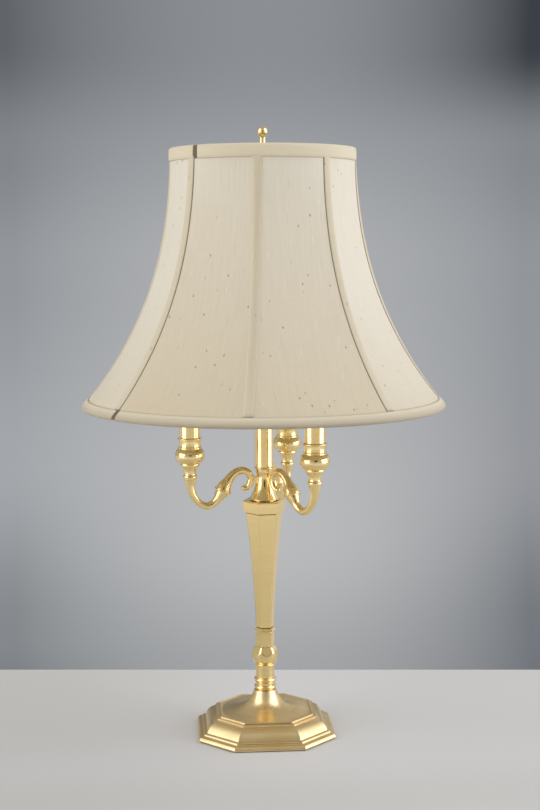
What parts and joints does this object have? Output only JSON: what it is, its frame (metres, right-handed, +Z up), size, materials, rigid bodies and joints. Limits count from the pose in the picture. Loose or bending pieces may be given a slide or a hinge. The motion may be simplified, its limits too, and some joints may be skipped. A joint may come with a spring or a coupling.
{
  "type": "candelabra table lamp",
  "caption": "Brass table lamp with a stepped eight-sided foot, tapered six-sided column, S-scroll candle arms, harp and a pleat-free bell shade of flat fabric panels.",
  "frame": {"origin": "centre of the underside of the foot, on the surface the lamp stands on", "axes": "+Z up, -Y front, +X to the right seen from the front; the long sides of the foot are square to X and Y"},
  "size_m": [0.3599, 0.36, 0.6053],
  "materials": {
    "satin_brass": "satin lacquered brass, lightly brushed along the turning",
    "brushed_brass": "brushed lacquered brass",
    "socket_brass": "plain drawn brass",
    "bulb_cap": "bright rolled thread",
    "steel": "zinc-plated steel",
    "shade_wire": "off-white painted wire",
    "cast_iron": "raw casting",
    "felt": "dark green felt",
    "phenolic": "black phenolic",
    "frosted_glass": "frosted glass",
    "shade_cloth": "slubbed silk and linen cloth",
    "lining_cloth": "smooth off-white lining",
    "shade_trim": "folded bias tape of the same cloth"
  },
  "bodies": {
    "lamp": {"foot": "brushed_brass", "foot_weight": "cast_iron", "felt_pad": "felt", "cord_bushing": "phenolic", "foot_washer": "steel", "foot_nut": "steel", "centre_rod": "steel", "beaded_collar": "satin_brass", "knop": "satin_brass", "column": "satin_brass", "column_cap": "satin_brass", "arm_hub": "satin_brass", "tube_ring": "satin_brass", "centre_tube": "satin_brass", "tube_cap": "satin_brass", "arm_1": "satin_brass", "arm_2": "satin_brass", "arm_3": "satin_brass", "candle_cup_1": "satin_brass", "candle_cup_2": "satin_brass", "candle_cup_3": "satin_brass", "cup_nipples": "steel", "cup_nuts": "steel", "socket_legs": "steel", "candle_cover_1": "satin_brass", "candle_cover_2": "satin_brass", "candle_cover_3": "satin_brass", "candle_socket_1": "phenolic", "candle_socket_2": "phenolic", "candle_socket_3": "phenolic", "harp_saddle": "satin_brass", "harp": "satin_brass", "socket_cap": "socket_brass", "socket_shell": "socket_brass", "socket_core": "phenolic"},
    "shade": {"fitter_washer": "shade_wire", "shade_fitter": "shade_wire", "shade_head_ring": "shade_wire", "shade_foot_ring": "shade_wire", "shade_ribs": "shade_wire", "shade_cover": "shade_cloth", "shade_lining": "lining_cloth", "shade_head_trim": "shade_trim", "shade_foot_trim": "shade_trim", "shade_tapes": "shade_trim"},
    "finial": {"finial": "satin_brass"},
    "switch": {"switch_knob": "phenolic"},
    "sleeve_1": {"harp_sleeve_1": "satin_brass"},
    "sleeve_2": {"harp_sleeve_2": "satin_brass"},
    "main_bulb": {"main_bulb": "frosted_glass", "main_bulb_cap": "bulb_cap"},
    "candle_bulb_1": {"candle_bulb_1": "frosted_glass", "candle_bulb_cap_1": "bulb_cap"},
    "candle_bulb_2": {"candle_bulb_2": "frosted_glass", "candle_bulb_cap_2": "bulb_cap"},
    "candle_bulb_3": {"candle_bulb_3": "frosted_glass", "candle_bulb_cap_3": "bulb_cap"}
  },
  "joints": [
    {"name": "shade_swivel", "type": "hinge", "parent": "lamp", "child": "shade", "pos_m": [0, 0, 0.5687], "axis": [0, 0, 1], "continuous": true},
    {"name": "finial_turn", "type": "hinge", "parent": "lamp", "child": "finial", "pos_m": [0, 0, 0.5727], "axis": [0, 0, 1], "continuous": true},
    {"name": "switch_turn", "type": "hinge", "parent": "lamp", "child": "switch", "pos_m": [0, 0, 0.3688], "axis": [-0.3907, -0.9205, 0], "continuous": true},
    {"name": "sleeve_1_lift", "type": "slide", "parent": "lamp", "child": "sleeve_1", "axis": [0, 0, 1], "range_m": [0, 0.009]},
    {"name": "sleeve_2_lift", "type": "slide", "parent": "lamp", "child": "sleeve_2", "axis": [0, 0, 1], "range_m": [0, 0.009]},
    {"name": "main_bulb_turn", "type": "hinge", "parent": "lamp", "child": "main_bulb", "pos_m": [0, 0, 0.4028], "axis": [0, 0, 1], "continuous": true},
    {"name": "candle_bulb_1_turn", "type": "hinge", "parent": "lamp", "child": "candle_bulb_1", "pos_m": [0.04483, -0.0595, 0.385], "axis": [0, 0, 1], "continuous": true},
    {"name": "candle_bulb_2_turn", "type": "hinge", "parent": "lamp", "child": "candle_bulb_2", "pos_m": [0.02911, 0.06858, 0.385], "axis": [0, 0, 1], "continuous": true},
    {"name": "candle_bulb_3_turn", "type": "hinge", "parent": "lamp", "child": "candle_bulb_3", "pos_m": [-0.07394, -0.00908, 0.385], "axis": [0, 0, 1], "continuous": true}
  ]
}
